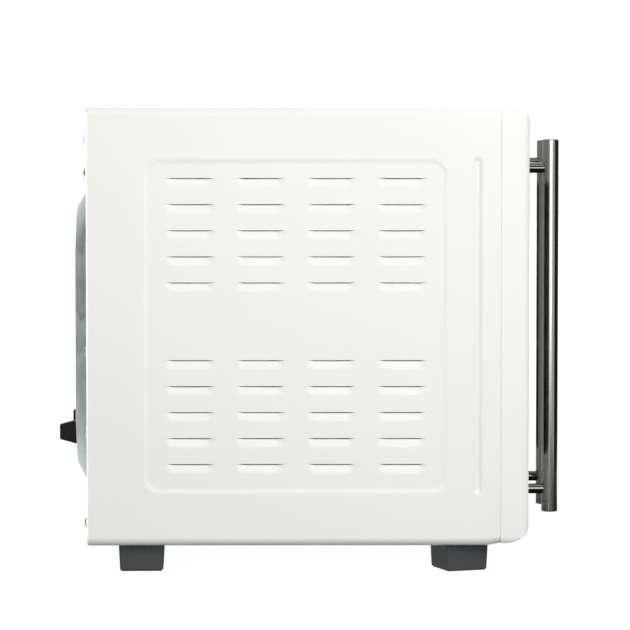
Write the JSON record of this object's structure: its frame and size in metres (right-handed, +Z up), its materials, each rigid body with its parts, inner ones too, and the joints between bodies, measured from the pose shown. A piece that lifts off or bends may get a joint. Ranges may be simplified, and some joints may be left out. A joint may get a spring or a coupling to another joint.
{
  "type": "mini oven",
  "caption": "Countertop mini oven with two side-hinged glass doors, upright bar handles, louvred cover sides, dials, a fan and removable shelves",
  "frame": {"origin": "on the table, under the centre of the oven's bounding box", "axes": "+X to the right of a person facing the doors, +Y from the doors to the rear, +Z up"},
  "size_m": [0.48, 0.4308, 0.383],
  "materials": {
    "white_paint": "satin powder coat",
    "white_moulding": "semi-gloss",
    "galvanised_steel": "dull galvanised",
    "brushed_panel": "fine vertical brushing",
    "cavity_steel": "aluminised, satin",
    "motor_steel": "plain",
    "heater_sheath": "dull, heat darkened",
    "ceramic": "matt",
    "bright_wire": "bright",
    "tray_enamel": "gloss enamel",
    "lamp_glass": "clear",
    "control_housing": "matt",
    "amber_lens": "clear amber",
    "black_plastic": "matt",
    "foot_plastic": "fine moulded texture",
    "plated_steel": "zinc plated",
    "white_bush": "matt",
    "magnet": "matt",
    "bright_trim": "bright",
    "knob_plastic": "satin",
    "fan_aluminium": "plain",
    "window_glass": "tinted, polished",
    "black_paint": "satin",
    "stainless_bar": "lengthwise brushed"
  },
  "bodies": {
    "oven_body": {"baking_tray": "tray_enamel", "bottom_plate": "galvanised_steel", "cavity_back_wall": "cavity_steel", "cavity_brackets": "galvanised_steel", "cavity_floor": "cavity_steel", "cavity_left_wall": "cavity_steel", "cavity_right_wall": "cavity_steel", "cavity_roof": "cavity_steel", "control_heat_shield": "galvanised_steel", "control_panel": "brushed_panel", "cord_gland": "black_plastic", "crumb_tray": "cavity_steel", "dial_rings": "bright_trim", "door_catches": "magnet", "fan_guard": "cavity_steel", "fan_motor": "motor_steel", "feet": "foot_plastic", "foot_screws": "plated_steel", "front_frame": "white_moulding", "heater_insulators": "ceramic", "hinge_bushes": "white_bush", "indicator_lamp": "amber_lens", "lamp_bulb": "lamp_glass", "lamp_cover": "lamp_glass", "lamp_holder": "ceramic", "lower_heaters": "heater_sheath", "mode_switch": "control_housing", "outer_cover": "white_paint", "rear_panel": "galvanised_steel", "rear_screws": "plated_steel", "terminal_block": "control_housing", "thermostat": "control_housing", "timer": "control_housing", "upper_heaters": "heater_sheath", "wall_spacers": "black_plastic", "wire_rack": "bright_wire"},
    "left_door": {"left_door_frame": "white_moulding", "left_door_glass": "window_glass", "left_door_retainer": "black_paint", "left_handle_bar": "stainless_bar", "left_handle_posts": "stainless_bar", "left_handle_screws": "plated_steel", "left_hinge_pins": "plated_steel", "left_strike_plate": "plated_steel"},
    "right_door": {"right_door_frame": "white_moulding", "right_door_glass": "window_glass", "right_door_retainer": "black_paint", "right_handle_bar": "stainless_bar", "right_handle_posts": "stainless_bar", "right_handle_screws": "plated_steel", "right_hinge_pins": "plated_steel", "right_strike_plate": "plated_steel"},
    "temperature_dial": {"temperature_knob": "knob_plastic", "temperature_shaft": "plated_steel"},
    "mode_dial": {"mode_knob": "knob_plastic", "mode_shaft": "plated_steel"},
    "timer_dial": {"timer_knob": "knob_plastic", "timer_shaft": "plated_steel"},
    "fan": {"fan_blade": "fan_aluminium", "fan_shaft": "plated_steel"}
  },
  "joints": [
    {"name": "left_door_hinge", "type": "hinge", "parent": "oven_body", "child": "left_door", "pos_m": [-0.2155, -0.1679, 0.2025], "axis": [0, 0, -1], "range_deg": [0, 95]},
    {"name": "right_door_hinge", "type": "hinge", "parent": "oven_body", "child": "right_door", "pos_m": [0.1115, -0.1679, 0.2025], "axis": [0, 0, 1], "range_deg": [0, 95]},
    {"name": "temperature_dial_turn", "type": "hinge", "parent": "oven_body", "child": "temperature_dial", "pos_m": [0.181, -0.1779, 0.303], "axis": [0, 1, 0], "range_deg": [0, 300]},
    {"name": "mode_dial_turn", "type": "hinge", "parent": "oven_body", "child": "mode_dial", "pos_m": [0.181, -0.1779, 0.213], "axis": [0, 1, 0], "range_deg": [0, 270]},
    {"name": "timer_dial_turn", "type": "hinge", "parent": "oven_body", "child": "timer_dial", "pos_m": [0.181, -0.1779, 0.123], "axis": [0, 1, 0], "range_deg": [0, 330]},
    {"name": "fan_spin", "type": "hinge", "parent": "oven_body", "child": "fan", "pos_m": [-0.052, 0.1491, 0.193], "axis": [0, 1, 0], "continuous": true}
  ]
}
